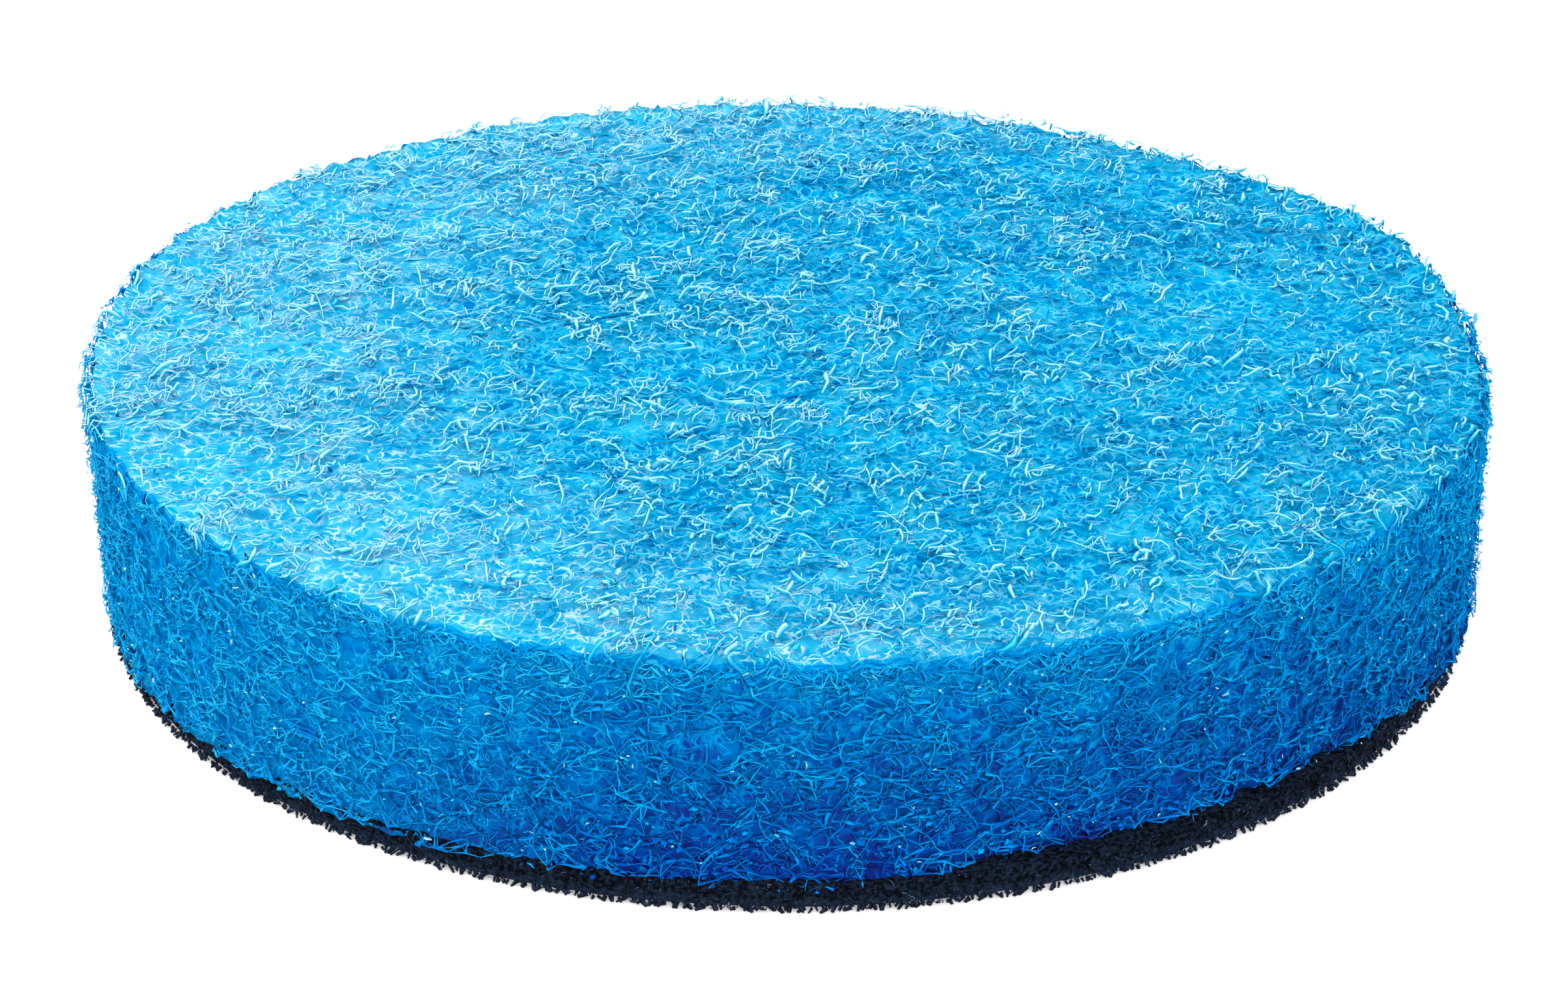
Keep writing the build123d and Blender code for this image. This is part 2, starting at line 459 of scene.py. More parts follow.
def crowded(rng, keen, count):
    """The numbers of count of these spots, picked at random but more often where they are keen."""
    return np.argsort(rng.exponential(1, len(keen)) / np.clip(keen, 0.05, None))[:count]


def coat_shade(rng, depth, bias, layer, side):
    """Pallor of the coat: pale where a fibre lies on the surface and deeper coloured further in, which is
    painted shade.
    """
    count, steps = depth.shape
    along = np.linspace(0, 1, steps)[None, :]
    worn = rng.normal(0, 0.22, (count, 1)) * np.sin(TAU * (0.8 * along + rng.random((count, 1))))
    each = rng.normal(0, side.spread, (count, 1))
    fade = np.exp(-np.clip(depth, 0, None) / side.fading)
    return np.clip(layer.deep + (layer.pale - layer.deep + worn + bias[:, None]) * fade + each, 0, 1)


class Face:
    """The face as a flat sheet: u and v are x and y, and w is the height over its swells."""

    spread = 0.14  # how far one fibre's pallor strays from the next one's
    fading = 0.26 * MM  # the depth at which the surface's pallor has mostly gone
    clouding = 1.0  # how much paler a fibre is where fibre lies thick
    painted_underside_shade = 0.2  # pallor of a fibre's underside over that of its top: painted shade under it

    droops_from = (0.05, 0.45)  # millimetres inside the edge
    fallen, kept_in = 0.9, 0.85  # shares of what passes there that go down and that are taken back

    def spots(self, rng, count, crowd):
        """Flat spots and how cloudy each is, more of them on the swells than in the troughs."""
        r = (WEB_RADIUS + 0.2 * MM) * np.sqrt(rng.random(2 * count))
        way = rng.uniform(0, TAU, 2 * count)
        spots = placed(way, r, 0.0)
        clouds = face_clouds(spots)
        picked = crowded(rng, 1 + crowd * (swells(spots) + 1.5 * clouds), count)
        return spots[picked], clouds[picked]

    def laid(self, rng, lines, swell, proud):
        """These flat lines in place, the way out of the pad, their depth, and the painted light on this
        side.
        """
        way, r = np.arctan2(lines[..., 1], lines[..., 0]), np.hypot(lines[..., 0], lines[..., 1])
        # Fibre that passes the edge droops over it
        limit = edge_radius(way) - rng.uniform(*self.droops_from, (len(lines), 1)) * MM
        over = np.clip(r - limit, 0, None)
        r = r - self.kept_in * over
        level = WEB_TOP - 0.08 * MM + swell * swells(lines.mean(1))[:, None]
        surface = level - rim_fall(way, edge_radius(way) - r)
        z = fold(surface + lines[..., 2], surface + proud) - self.fallen * over
        laid = placed(way, r, z)
        left, far = -laid[..., 0].mean(1) / WEB_RADIUS, r.mean(1) / WEB_RADIUS
        # The depth is taken from the face's level before the rim falls, so fibre on the pressed rim is
        # painted deeper coloured too, as shade
        return laid, np.broadcast_to(UP, laid.shape), level - z, self.painted_light(left, far)

    def painted_light(self, left, far):
        """Painted light: how much paler fibre is painted this far to the pad's -X side and this far out, in
        radii.
        """
        rim = np.clip(far - 0.65, 0, None) * (1 + np.clip(left, 0, None))
        return 0.06 + 0.45 * left + 0.8 * np.clip(left - 0.3, 0, None) + 0.7 * rim


class Wall:
    """The wall unrolled: u runs round it from +X, v is the height, and w is the height over the cut."""

    spread = 0.18
    fading = 0.35 * MM
    clouding = 0.9
    # pallor of a fibre's underside over that of its top: painted shade under it
    painted_underside_shade = 0.6

    def spots(self, rng, count, crowd):
        """Flat spots and how cloudy each is, more of them where fibre lies thick."""
        way = rng.uniform(0, TAU, 2 * count)
        low = lower_edge(way) + 0.15 * MM
        spots = np.stack((way * WEB_RADIUS, low + (WEB_TOP - low) * rng.random(2 * count), 0 * way), 1)
        clouds = wall_clouds(self.places(spots))
        picked = crowded(rng, 1 + 1.5 * crowd * clouds, count)
        return spots[picked], clouds[picked]

    def places(self, spots):
        """Where these flat spots are on the pad."""
        return placed(spots[:, 0] / WEB_RADIUS, WEB_RADIUS, spots[:, 1])

    def laid(self, rng, lines, swell, proud):
        """These flat lines in place, the way out of the pad, their depth, and the painted light on this
        side.
        """
        turn = lines[..., 0] / WEB_RADIUS
        # No fibre comes nearer to the face than this
        z = fold(lines[..., 1], WEB_TOP - rim_fall(turn, 0.0) - 0.5 * MM)
        z = -fold(-z, -lower_edge(turn))
        # Fluff that hangs under the web lies outside the cloth's rim
        hanging = np.clip((WEB_BOTTOM + 0.2 * MM - z) / (0.5 * MM), 0, 1)
        cut = edge_radius(turn) - 0.05 * MM - undercut(turn, z)
        surface = cut - rounded_wall(z + rim_fall(turn, 0.0)) + 0.1 * MM * hanging
        r = fold(surface + lines[..., 2] * (1 - 0.7 * hanging), surface + proud)
        laid, outward = placed(turn, r, z), placed(turn, 1.0, 0.0)
        # Painted light: the wall's fibre is painted paler towards the pad's -X side
        painted_light = 0.25 * np.clip(-laid[..., 0].mean(1) / WEB_RADIUS, 0, 1)
        return laid, outward, surface - r, painted_light


def fibre_lines(rng, side, settings, layer):
    """Flat lines of a layer's loose fibres, which lie at random about the layer's heading."""
    count = layer.count
    spots, clouds = side.spots(rng, count, layer.crowd)
    spots[:, 2] = -rng.uniform(*layer.depth, count) * MM
    length = settings.length * layer.length * np.exp(rng.normal(0, 0.4, count))
    # Most fibres lie roughly along the carding, and a fifth of them anyhow
    stray = rng.choice((0.3, 0.7, 2.0), count, p=(0.45, 0.35, 0.2)) * rng.normal(0, 1, count)
    heading = radians(layer.heading) + stray
    lines = crimped_lines(rng, count, layer.steps, length, heading, layer.curl, layer.loft)
    return lines + spots[:, None, :], clouds


def net_lines(rng, side, settings, layer):
    """Flat lines of the strands between a layer's bonds."""
    spots, clouds = side.spots(rng, layer.count, layer.crowd)
    spots[:, 2] = -rng.uniform(*layer.depth, layer.count) * MM
    # Fibre lies in the sheet more than through it, so bonds are sought further along than up
    pairs = bonded(rng, side.places(spots) * (1, 1, 1.4), 2)
    start = spots[pairs[:, 0]]
    run = spots[pairs[:, 1]] - start
    # On the wall a strand may cross the line where the sheet meets itself
    girth = TAU * WEB_RADIUS
    run[:, 0] = (run[:, 0] + girth / 2) % girth - girth / 2
    return strands(rng, start, run, layer.steps, layer.curl, 0.05 * MM), clouds[pairs[:, 0]]


@dataclass
class Layer:
    """One layer of fibre.  Depths are in millimetres, and angles but for heading in radians."""

    name: str
    count: int  # fibres, or bonds of a net
    depth: tuple  # from here to here under the skin
    curl: float  # turn from end to end or, in a net, the bow as a share of the length
    thickness: float  # over the usual fibre's
    pale: float  # pallor of the coat on the surface
    deep: float  # its pallor deep down, where the deeper colour is painted shade
    crowd: float  # how far the layer keeps to where fibre lies thick
    lines: object = fibre_lines  # or net_lines, for strands between bonds
    steps: int = 3  # points along each fibre
    flat: float = 0.5  # thickness over width
    coat: str = "wall"
    ends: float = 0.6  # thickness at the ends over that at the middle
    proud: float = 0.0  # how far fibre may stand over the skin
    length: float = 0.0  # over the usual fibre's
    heading: float = 0.0  # the way that most fibres lie, in degrees
    loft: float = 0.0  # how steeply a fibre climbs


FACE_LAYERS = (
    Layer(
        "face_fibres_middle", count=3000, steps=5, depth=(0.1, 0.5),
        length=0.6, heading=30, curl=1.0, loft=0.25, thickness=1.1,
        pale=0.6, deep=0.25, crowd=0.9, coat="matt",
    ),
    Layer(
        "face_fibres_top", count=3800, steps=5, depth=(-0.1, 0.25),
        length=0.42, heading=60, curl=1.1, loft=0.5, proud=0.2, thickness=1.6,
        pale=1.05, deep=0.35, crowd=1.2, coat="clear",
    ),
    Layer(
        "face_hooks", count=1100, steps=8, depth=(-0.1, 0.2),
        length=0.7, heading=60, curl=2.4, loft=0.5, proud=0.2, thickness=1.1, flat=0.6,
        pale=1.05, deep=0.4, crowd=1.2, coat="clear",
    ),
    Layer(
        "face_resin_films", count=2400, steps=4, depth=(0.05, 0.4),
        length=0.22, heading=20, curl=0.8, loft=0.15, thickness=3.0, ends=0.2, flat=0.1,
        pale=0.85, deep=0.25, crowd=1.3, coat="matt",
    ),
)
WALL_LAYERS = (
    Layer(
        "wall_net_deep", lines=net_lines, count=6400, depth=(0.25, 0.75),
        curl=0.1, thickness=0.85, ends=2.4,
        pale=0.7, deep=0.35, crowd=0.5,
    ),
    Layer(
        "wall_net", lines=net_lines, count=7700, depth=(0.0, 0.45),
        curl=0.08, thickness=0.56, ends=2.6,
        pale=0.8, deep=0.35, crowd=0.7,
    ),
    Layer(
        "wall_fibres", count=5400, depth=(0.0, 0.4),
        length=0.18, heading=8, curl=0.8, loft=1.0, proud=0.1, thickness=0.6, flat=0.7,
        pale=0.9, deep=0.4, crowd=0.9,
    ),
    Layer(
        "wall_fuzz", count=3600, depth=(-0.1, 0.1),
        length=0.12, heading=8, curl=1.2, loft=1.4, proud=0.2, thickness=0.45, flat=1.0,
        pale=0.95, deep=0.5, crowd=0.6,
    ),
    Layer(
        "wall_resin_films", count=2400, depth=(0.05, 0.45),
        length=0.12, heading=15, curl=0.8, loft=0.2, thickness=2.6, ends=0.25, flat=0.2,
        pale=0.7, deep=0.35, crowd=0.9,
    ),
    # Cut fibre ends with a gloss, painted pale so that they show as glints: painted highlight
    Layer(
        "wall_fibre_ends_painted_glints", count=420, depth=(-0.1, 0.0),
        length=0.06, heading=10, curl=0.4, loft=0.3, proud=0.15, thickness=0.95, flat=1.0,
        pale=0.85, deep=0.6, crowd=0.5, coat="cut",
    ),
)


def lay_fibres(layers, side, settings, coats, seed):
    """Lay each of these layers on this side with its own seed, and give it its coat."""
    for layer in layers:
        rng = np.random.default_rng(seed)
        lines, clouds = layer.lines(rng, side, settings, layer)
        lines, outward, depth, painted_light = side.laid(rng, lines, settings.swell, layer.proud * MM)
        radius = thick_and_thin(rng, *depth.shape, settings.thickness * layer.thickness, layer.ends)
        shade = coat_shade(rng, depth, painted_light + side.clouding * clouds, layer, side)
        piece = tubes(layer.name, lines, outward, radius, shade, layer.flat, side.painted_underside_shade)
        piece.data.materials.append(coats[layer.coat])
        seed += 1


class ADD_OT_fibres(bpy.types.Operator):
    """Add the fibres of the scouring face and of the cut wall, layer by layer"""

    bl_idname = "mesh.scrub_fibres"
    bl_label = "Fibres"

    def execute(self, context):
        settings = context.scene.scrub_web
        colours = {"matt": face_colour, "clear": face_colour, "wall": wall_colour, "cut": face_colour}
        gloss = {"matt": 0.0, "clear": 0.15, "wall": 0.0, "cut": 0.3}
        coats = {}
        for name, colour in colours.items():
            coats[name] = coated_fibre("resin_coated_nylon_" + name, colour, settings, gloss[name])
        lay_fibres(FACE_LAYERS, Face(), settings, coats, 11)
        lay_fibres(WALL_LAYERS, Wall(), settings, coats, 21)
        return {"FINISHED"}


# ---- loop cloth

CLOTH_POINTS = 360  # round the cloth
NAP_RINGS = 30  # of points under the nap, from the rim to the middle
RIM_LOOPS, RIM_TUFTS = 3200, 900  # round the rim
LINT = 0.2  # of the broken loops are bits of lint


def cloth_disc():
    """The cloth as one closed disc, whose rim and lower side are rough with nap."""
    top, thick = CLOTH_TOP, CLOTH_TOP - float(CLOTH_LOW[2])
    # From near the middle of the upper side out to the rim, round it, and back under the nap
    profile = [(share, top) for share in np.linspace(0, 1, 8)[1:]]
    profile += [(1.0, top - thick * drop) for drop in (0.25, 0.5, 0.72)]
    profile += [(0.997, top - thick * 0.88)]
    profile += [(share, 0.05 * MM) for share in np.linspace(0.992, 0, NAP_RINGS)[:-1]]
    angle = TAU * np.arange(CLOTH_POINTS) / CLOTH_POINTS
    share, z = np.array(profile).T[..., None]
    points = placed(angle, share * CLOTH_RADIUS, z).reshape(-1, 3)
    fuzz = soft_noise(points, 0.7 * MM, 31, 2)
    share = np.linalg.norm(points[:, :2], axis=1) / CLOTH_RADIUS
    at_rim = np.clip((share - 0.97) / 0.02, 0, 1)
    tucked = 0.12 * MM + 0.3 * MM * (points[:, 0] / CLOTH_RADIUS) ** 4
    points[:, :2] *= (1 + at_rim * (0.1 * MM * fuzz - tucked) / CLOTH_RADIUS)[:, None]
    under = points[:, 2] < 0.3 * MM
    points[under, 2] += 0.1 * MM * (1 + fuzz[under])
    middle = len(points)
    rings = list(np.arange(middle).reshape(len(profile), -1))
    polygons = ring_strips(rings).tolist() + fan(rings[0], middle) + fan(rings[-1][::-1], middle + 1)
    points = np.concatenate((points, [(0, 0, top), (0, 0, 0.1 * MM)])) + CLOTH_FOOT
    return add_piece("loop_cloth", smooth_mesh("loop_cloth", points, polygons))


class ADD_OT_loop_cloth(bpy.types.Operator):
    """Add the black loop cloth under the web, and the nap round its rim"""

    bl_idname = "mesh.scrub_loop_cloth"
    bl_label = "Loop cloth"

    def execute(self, context):
        settings = context.scene.scrub_cloth
        cloth = cloth_disc()
        cloth.data.materials.append(knitted_ground(settings))
        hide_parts("loop_backing")
        naps = [rim_nap(settings), rim_tufts()]
        brushed = brushed_loops(settings)
        for nap in naps:
            nap.data.materials.append(brushed)
        return {"FINISHED"}


def rim_nap(settings):
    """Broken loops that stand out of the cloth's cut rim."""
    rng = np.random.default_rng(41)
    count, steps = RIM_LOOPS, 5
    lint = rng.random(count) < LINT
    length = settings.loop * np.where(lint, 0.12, rng.uniform(0.3, 0.7, count))
    line = crimped_lines(rng, count, steps, length, rng.uniform(0, TAU, count), 2.4, 0.6)
    way = rng.uniform(0, TAU, count)
    low = 0.06 * MM
    high = CLOTH_TOP + 0.12 * MM
    z = fold(line[..., 1] + rng.uniform(low, high, count)[:, None], high)
    z = -fold(-z, -low)
    turn = way[:, None] + line[..., 0] / CLOTH_RADIUS
    tuck = 0.25 * MM * np.clip(1 - z / (0.5 * MM), 0, 1) ** 2
    surface = CLOTH_RADIUS - tuck - 0.3 * MM * np.cos(turn) ** 4
    inside = np.where(lint, 0.02, rng.uniform(0, 0.25, count))[:, None]
    r = fold(surface - inside * MM + line[..., 2], surface)
    lines, outward = placed(turn, r, z) + CLOTH_FOOT, placed(turn, 1.0, 0.0)
    thread = settings.thread * np.where(lint, 0.5, 1.0)[:, None]
    radius = thick_and_thin(rng, count, steps, thread, 0.5)
    low_down = 0.75 * np.clip(1 - z / (0.7 * MM), 0, 1)
    pallor = np.where(lint, rng.uniform(0.6, 1.0, count), rng.exponential(0.2, count) - 0.1)
    shade = np.clip(pallor[:, None] + low_down, 0, 1)
    return tubes("nap_loops", lines, outward, radius, shade)


def rim_tufts():
    """Tufts of loops that lean out round the lower edge of the rim."""
    rng = np.random.default_rng(42)
    count = RIM_TUFTS
    along = np.linspace(0, 1, 3)[None, :]
    way = TAU * (np.arange(count) + rng.uniform(-0.5, 0.5, count)) / count
    turn = way[:, None] + rng.normal(0, 0.2, (count, 1)) * MM / CLOTH_RADIUS * along
    r = CLOTH_RADIUS - 0.3 * MM + rng.uniform(0.05, 0.3, (count, 1)) * MM * along
    z = 0.06 * MM + rng.uniform(0.05, 0.3, (count, 1)) * MM * (1 - along)
    lines = placed(turn, r, z) + CLOTH_FOOT
    radius = rng.uniform(0.08, 0.18, (count, 1)) * MM * (1 - 0.4 * along)
    shade = rng.uniform(0.2, 0.55, (count, 1)) + 0 * z
    return tubes("nap_tufts", lines, np.broadcast_to(UP, lines.shape), radius, shade)


# ---- materials


def linear_all(*hex_colours):
    """Linear RGBA of each of these hex colours."""
    return tuple(linear(hex_colour) for hex_colour in hex_colours)


# The core's three nets of strands: (width of a cell and of a strand in mm, level, seed)
CORE_NETS = ((1.1, 0.15, 0.55, 1), (0.8, 0.1, 0.75, 2), (0.6, 0.07, 1.0, 3))


def new_material(name):
    """A material of this name, and its shader."""
    material = bpy.data.materials.new(name)
    material.use_nodes = True
    return material, material.node_tree.nodes["Principled BSDF"]


def set_surface(shader, colour, roughness, gloss, normal=None):
    """Give the shader its colour, roughness and gloss and, where one is made for it, its normal."""
    link(colour, shader.inputs["Base Color"])
    shader.inputs["Roughness"].default_value = roughness
    shader.inputs["Specular IOR Level"].default_value = gloss
    if normal is not None:
        link(normal, shader.inputs["Normal"])


def link(output, socket):
    """Feed this input socket from another node's output."""
    socket.id_data.links.new(output, socket)


def add_node(owner, kind, inputs=None, **settings):
    """Add a node of this kind to a material or a world.

    inputs maps its input sockets to the outputs that feed them, or to constants.
    """
    node = owner.node_tree.nodes.new("ShaderNode" + kind)
    for name, value in settings.items():
        setattr(node, name, value)
    for key, value in (inputs or {}).items():
        if isinstance(value, bpy.types.NodeSocket):
            link(value, node.inputs[key])
        else:
            node.inputs[key].default_value = value
    return node


def dyed(material, value, places, colours, blends=()):
    """The dye's colour for this value, from a ramp of these colours at these places.

    Each of blends is a function that says how far to go on to its own colours, and those colours.
    """
    colour = None
    for blend, own_colours in ((None, colours), *blends):
        ramp = add_node(material, "ValToRGB", {"Fac": value})
        steps = ramp.color_ramp.elements
        while len(steps) < len(places):
            steps.new(0.5)
        for step, place, own_colour in zip(steps, places, own_colours):
            step.position = place
            step.color = own_colour
        if blend is None:
            colour = ramp.outputs["Color"]
        else:
            inputs = {0: blend(material), 6: colour, 7: ramp.outputs["Color"]}
            colour = add_node(material, "Mix", inputs, data_type="RGBA").outputs[2]
    return colour


def along_axis(material, axis, start, end, most=1.0):
    """0 up to start along this axis of the pad, rising to most at end."""
    place = add_node(material, "TexCoord").outputs["Object"]
    parts = add_node(material, "SeparateXYZ", {"Vector": place})
    inputs = {"Value": parts.outputs[axis], "From Min": start, "From Max": end, "To Max": most}
    return add_node(material, "MapRange", inputs).outputs["Result"]


def painted_light(material, most):
    """Painted light: 0 over most of the pad, rising to most at its -X side."""
    return along_axis(material, "X", -0.2 * WEB_RADIUS, -WEB_RADIUS, most)


def painted_light_on_face(material):
    """Painted light: 0 over most of the face, rising to 1 at its -X side and nearly that at the edge on
    either hand.
    """
    place = add_node(material, "TexCoord").outputs["Object"]
    inputs = {0: place, 1: (0.35 * WEB_RADIUS, 0, WEB_TOP)}
    far = add_node(material, "VectorMath", inputs, operation="DISTANCE").outputs["Value"]
    inputs = {"Value": far, "From Min": 0.75 * WEB_RADIUS, "From Max": 1.02 * WEB_RADIUS}
    return add_node(material, "MapRange", inputs).outputs["Result"]


def painted_light_and_shade_on_wall(material):
    """Painted shade and light: 0 at the web's lower edge, painted darker there, and 1 at its face, with
    painted light at the -X and +X sides.
    """
    height = along_axis(material, "Z", WEB_BOTTOM, WEB_TOP)
    painted_light_right = along_axis(material, "X", 0.6 * WEB_RADIUS, WEB_RADIUS, 0.35)
    sides = add_node(material, "Math", {0: painted_light_right, 1: painted_light(material, 0.8)}, operation="ADD").outputs[0]
    return add_node(material, "Math", {0: height, 1: sides}, operation="ADD", use_clamp=True).outputs[0]


def painted_light_near_face(material):
    """Painted light: 1 at the top of the wall and 0 from 3.5 mm down, with more at the -X side."""
    height = along_axis(material, "Z", WEB_TOP - 3.5 * MM, WEB_TOP)
    inputs = {0: height, 1: painted_light(material, 0.75)}
    return add_node(material, "Math", inputs, operation="ADD", use_clamp=True).outputs[0]


def face_colour(material, pallor, settings):
    """Saturated cyan where the pallor is low, deep down, and milky where it is high; the pallor holds
    painted shade and painted light as well as the coat's own tone.
    """
    coat = linear_all("0084CC", "00B0E2", "44C6EE", "9CDCF4")
    return dyed(material, pallor, (0.05, 0.3, 0.5, 0.75, 1.0), (*coat, settings.pale_colour))


def wall_colour(material, pallor, settings):
    """Cyan by the face that deepens to violet-blue by the cloth, as painted shade, with painted light at the
    -X and +X sides and near the face.
    """
    low = (settings.wall_void_colour, settings.wall_body_colour, settings.wall_bright_colour)
    # Lighter copies of the colours, blended in as painted light up the wall and near the face
    high, rim = linear_all("0074D2", "00A2E8", "10CAF8"), linear_all("0090E0", "00A6E8", "34C2F2")
    return dyed(material, pallor, (0.1, 0.45, 1.0), low, ((painted_light_and_shade_on_wall, high), (painted_light_near_face, rim)))


def glowing_through(material):
    """A normal raised towards the sky, since light that falls on a fibre comes out all over it."""
    round_it = add_node(material, "NewGeometry").outputs["Normal"]
    raised = add_node(material, "VectorMath", {0: round_it, 1: (0.0, 0.0, 0.5)}, operation="ADD").outputs[0]
    return add_node(material, "VectorMath", {0: raised}, operation="NORMALIZE").outputs[0]


def coated_fibre(name, colour, settings, gloss):
    """Nylon staple in a coat of dyed acrylic resin: a milky, half translucent cyan with a clear gloss."""
    material, shader = new_material(name)
    pallor = add_node(material, "Attribute", attribute_name="pallor").outputs["Fac"]
    set_surface(shader, colour(material, pallor, settings), 0.25, gloss, glowing_through(material))
    shader.inputs["IOR"].default_value = 1.49
    return material


def strand_mask(material, place, size, width, level, seed):
    """This level along the edges of cells of this size, as strands of this width, and 0 inside them."""
    inputs = {0: place, 1: (seed * size, 2.3 * seed * size, 3.1 * seed * size)}
    moved = add_node(material, "VectorMath", inputs, operation="ADD").outputs[0]
    inputs = {"Vector": moved, "Scale": 1 / size}
    cells = add_node(material, "TexVoronoi", inputs, feature="DISTANCE_TO_EDGE").outputs["Distance"]
    inputs = {"Value": cells, "From Min": width / size, "From Max": 0.3 * width / size}
    strand = add_node(material, "MapRange", inputs).outputs["Result"]
    # A strand comes and goes as it dives in and out of the mat
    dives = add_node(material, "TexNoise", {"Vector": moved, "Scale": 0.9 / size, "Detail": 0.0})
    inputs = {"Value": dives.outputs["Fac"], "From Min": 0.38, "From Max": 0.6}
    inputs.update({"To Min": 0.25 * level, "To Max": level})
    shown = add_node(material, "MapRange", inputs).outputs["Result"]
    return add_node(material, "Math", {0: strand, 1: shown}, operation="MULTIPLY").outputs[0]


def matted_core(name, colours, blends, haziness):
    """The same dyed web seen deep down: strands and soft films of resin that cross over voids painted dark
    as shade.

    colours are those of a void, a film and a strand, and blends those of other parts of the web.
    haziness is how far the thickest film goes from void to strand.
    """
    material, shader = new_material(name)
    place = add_node(material, "TexCoord").outputs["Object"]
    # The strands bend over about 0.7 mm
    stray = add_node(material, "TexNoise", {"Vector": place, "Scale": 1 / (0.7 * MM), "Detail": 1.0})
    inputs = {0: stray.outputs["Color"], 1: (0.7 * MM, 0.7 * MM, 0.5 * MM), 2: place}
    bent = add_node(material, "VectorMath", inputs, operation="MULTIPLY_ADD").outputs[0]
    # Films of resin are about 0.5 mm across, and thickest where fibre lies thick
    films = add_node(material, "TexNoise", {"Vector": place, "Scale": 1 / (0.5 * MM), "Detail": 2.0})
    thick = add_node(material, "Attribute", attribute_name="haze").outputs["Fac"]
    inputs = {0: thick, 1: 0.5, 2: films.outputs["Fac"]}
    both = add_node(material, "Math", inputs, operation="MULTIPLY_ADD").outputs[0]
    inputs = {"Value": both, "From Min": 0.35, "From Max": 0.75, "To Max": haziness}
    whole = add_node(material, "MapRange", inputs).outputs["Result"]
    for size, width, level, seed in CORE_NETS:
        strand = strand_mask(material, bent, size * MM, width * MM, level, seed)
        whole = add_node(material, "Math", {0: whole, 1: strand}, operation="MAXIMUM").outputs[0]
    # The voids take the first and darkest colour of each set: painted shade down in the web's pores
    colour = dyed(material, whole, (0.0, 0.5, 1.0), colours, blends)
    bump = add_node(material, "Bump", {"Height": whole, "Strength": 0.4, "Distance": 0.1 * MM})
    set_surface(shader, colour, 0.8, 0.0, bump.outputs["Normal"])
    return material


def face_core(settings):
    """The matted web under the face: cyan, and painted milkier at the -X side and the edge, as painted
    light.
    """
    full = (settings.void_colour, settings.body_colour, linear("60C8E8"))
    # Lighter copies of those colours, for the painted light at the -X side and the edge
    thin = linear_all("009CD2", "34B6E0", "B8E2F2")
    return matted_core("resin_bonded_web_face", full, ((painted_light_on_face, thin),), 0.55)


def wall_core(settings):
    """The matted web behind the cut: cyan by the face that deepens to violet-blue by the cloth, as painted
    shade, with painted light at the sides and near the face.
    """
    low = (settings.wall_void_colour, *linear_all("003CA0", "0074CC"))
    # Lighter copies of the colours, blended in as painted light up the wall and near the face
    high, rim = linear_all("0054B4", "008CD8", "08B8F0"), linear_all("0086D6", "00A2E2", "28BAEC")
    blends = ((painted_light_and_shade_on_wall, high), (painted_light_near_face, rim))
    return matted_core("resin_bonded_web_wall", low, blends, 0.5)


def knitted_ground(settings):
    """Warp-knitted nylon, dyed black and brushed: matt, with the loops' shadows between them."""
    material, shader = new_material("black_knitted_nylon")
    place = add_node(material, "TexCoord").outputs["Object"]
    # Tufts of nap are about 0.2 mm apart
    inputs = {"Vector": place, "Scale": 1 / (0.2 * MM), "Detail": 3.0}
    tufts = add_node(material, "TexNoise", inputs).outputs["Fac"]
    # The nap's lower part is brushed out more loosely and looks greyer
    brushed = along_axis(material, "Z", 0.9 * MM, 0.3 * MM, 0.2)
    both = add_node(material, "Math", {0: tufts, 1: brushed}, operation="ADD").outputs[0]
    colour = dyed(material, both, (0.4, 0.8), (settings.ground_colour, settings.nap_colour))
    bump = add_node(material, "Bump", {"Height": tufts, "Strength": 0.6, "Distance": 0.2 * MM})
    set_surface(shader, colour, 0.85, 0.03, bump.outputs["Normal"])
    return material


def brushed_loops(settings):
    """Brushed nylon filament, dyed black, with a few bits of grey lint that catch the light."""
    material, shader = new_material("black_brushed_nylon")
    pallor = add_node(material, "Attribute", attribute_name="pallor").outputs["Fac"]
    colours = (settings.ground_colour, settings.nap_colour, settings.lint_colour)
    set_surface(shader, dyed(material, pallor, (0.0, 0.5, 1.0), colours), 0.5, 0.06)
    return material


# ---- stage

# The softboxes: (name, place in metres, width in metres, power in watts)
SOFTBOXES = (
    ("key_softbox", (-0.24, 0.0, 0.17), 0.2, 0.3),
    ("back_softbox", (0.08, 0.5, 0.42), 0.3, 0.65),
    ("fill_softbox", (0.10, -0.70, 0.30), 0.5, 3.6),
)
WORLD_STRENGTH = 1.0
FLOOR_REACH = 1.5  # metres from the pad to the floor's edge


class ADD_OT_stage(bpy.types.Operator):
    """Add the camera, the white floor and the soft lights"""

    bl_idname = "object.scrub_stage"
    bl_label = "Stage"

    def execute(self, context):
        scene = context.scene
        add_camera(scene)
        add_floor(scene)
        for name, place, width, power in SOFTBOXES:
            soft_light(name, place, width, power)
        light_world(scene)
        scene.view_settings.view_transform = "Standard"
        return {"FINISHED"}


def add_camera(scene):
    """The camera, which looks down on the pad from the -Y side."""
    settings = scene.scrub_stage
    camera = bpy.data.objects.new("camera", bpy.data.cameras.new("camera"))
    camera.data.lens = settings.lens
    camera.data.sensor_width = 36.0
    camera.data.sensor_fit = "HORIZONTAL"
    camera.data.clip_start = 0.01
    away, elevation = settings.distance, settings.elevation
    camera.location = (0, -away * np.cos(elevation), WEB_TOP + away * np.sin(elevation))
    camera.rotation_euler = (pi / 2 - elevation - settings.tip, 0, 0)
    scene.collection.objects.link(camera)
    scene.camera = camera


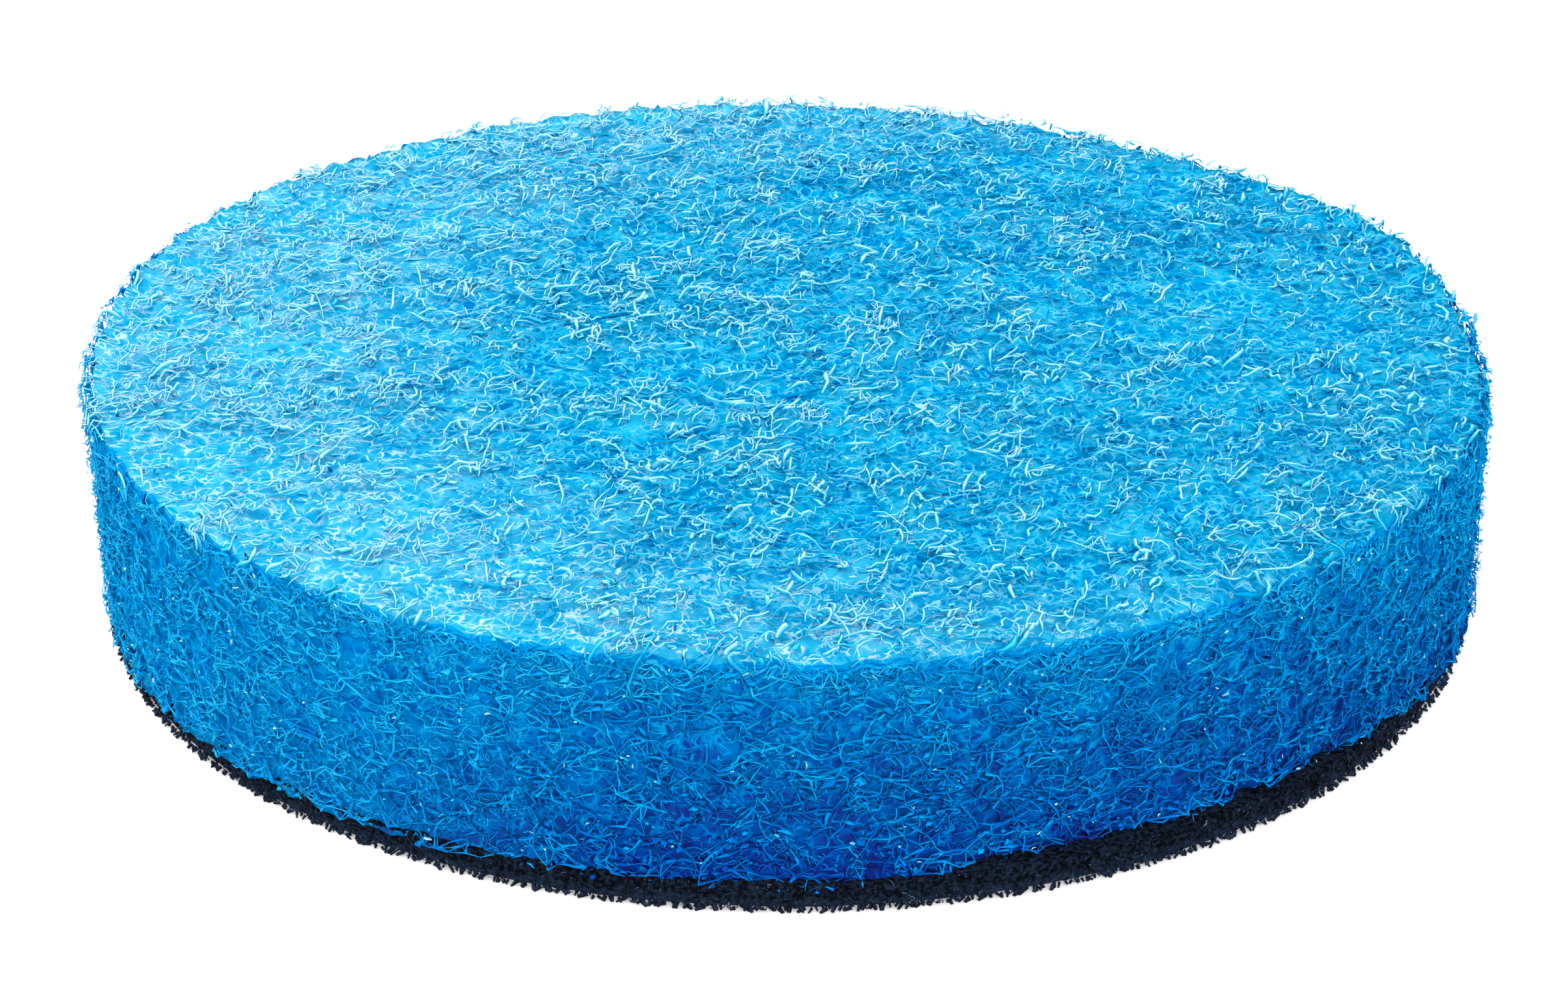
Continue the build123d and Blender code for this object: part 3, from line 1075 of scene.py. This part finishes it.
def add_floor(scene):
    """The white card that the pad lies on."""
    mesh = bpy.data.meshes.new("floor")
    corners = [(x * FLOOR_REACH, y * FLOOR_REACH, 0) for x, y in ((-1, -1), (1, -1), (1, 1), (-1, 1))]
    mesh.from_pydata(corners, [], [(0, 1, 2, 3)])
    floor = bpy.data.objects.new("floor", mesh)
    scene.collection.objects.link(floor)
    mesh.materials.append(white_floor())


def soft_light(name, place, width, power):
    """A square softbox that faces the pad."""
    lamp = bpy.data.lights.new(name, "AREA")
    lamp.size = width
    lamp.energy = power
    light = bpy.data.objects.new(name, lamp)
    light.location = place
    light.rotation_euler = (-Vector(place)).to_track_quat("-Z", "Y").to_euler()
    bpy.context.scene.collection.objects.link(light)


def seen_ray(owner):
    """1 for a ray that shows the background, also in gloss or through glass, and 0 for its light."""
    path = add_node(owner, "LightPath")
    seen = path.outputs["Is Camera Ray"]
    for kind in ("Is Glossy Ray", "Is Transmission Ray"):
        seen = add_node(owner, "Math", {0: seen, 1: path.outputs[kind]}, operation="MAXIMUM").outputs[0]
    return seen


def white_floor():
    """Seamless white card.  It throws little light back, as black card round a product does."""
    material, shader = new_material("white_card")
    material.node_tree.nodes.remove(shader)
    dim = add_node(material, "BsdfDiffuse", {"Color": (0.25, 0.25, 0.25, 1)})
    white = add_node(material, "BsdfDiffuse", {"Color": (1, 1, 1, 1)})
    glow = add_node(material, "Emission", {"Strength": 0.25})
    both = add_node(material, "AddShader", {0: white.outputs[0], 1: glow.outputs[0]})
    inputs = {0: seen_ray(material), 1: dim.outputs[0], 2: both.outputs[0]}
    card = add_node(material, "MixShader", inputs).outputs[0]
    link(card, material.node_tree.nodes["Material Output"].inputs["Surface"])
    return material


def light_world(scene):
    """White all round, at its own strength as light and at full white where it is seen."""
    world = bpy.data.worlds.new("white_studio")
    world.use_nodes = True
    background = world.node_tree.nodes["Background"]
    background.inputs["Color"].default_value = (1, 1, 1, 1)
    inputs = {"Value": seen_ray(world), "To Min": WORLD_STRENGTH, "To Max": 1.0}
    link(add_node(world, "MapRange", inputs).outputs["Result"], background.inputs["Strength"])
    scene.world = world


# ---- panel and run


class VIEW3D_PT_scrub_pad(bpy.types.Panel):
    """Sizes, colours and pieces of the scrub pad"""

    bl_idname = "VIEW3D_PT_scrub_pad"
    bl_label = "Scrub pad"
    bl_space_type = "VIEW_3D"
    bl_region_type = "UI"
    bl_category = "Scrub pad"

    def draw(self, context):
        for name in SETTINGS:
            group = getattr(context.scene, name)
            box = self.layout.box()
            for key in group.__annotations__:
                box.prop(group, key)
        for operator in OPERATORS:
            self.layout.operator(operator.bl_idname)


SETTINGS = {"scrub_web": WebSettings, "scrub_cloth": ClothSettings, "scrub_stage": StageSettings}
OPERATORS = (ADD_OT_web_core, ADD_OT_fibres, ADD_OT_loop_cloth, ADD_OT_stage)
CLASSES = (*SETTINGS.values(), *OPERATORS, VIEW3D_PT_scrub_pad)


def register():
    for cls in CLASSES:
        bpy.utils.register_class(cls)
    for name, group in SETTINGS.items():
        setattr(bpy.types.Scene, name, bpy.props.PointerProperty(type=group))


def unregister():
    for name in SETTINGS:
        delattr(bpy.types.Scene, name)
    for cls in reversed(CLASSES):
        bpy.utils.unregister_class(cls)


def main():
    """Build the pad and its stage."""
    register()
    bpy.ops.mesh.scrub_web_core()
    bpy.ops.mesh.scrub_fibres()
    bpy.ops.mesh.scrub_loop_cloth()
    bpy.ops.object.scrub_stage()


if __name__ == "__main__":
    main()
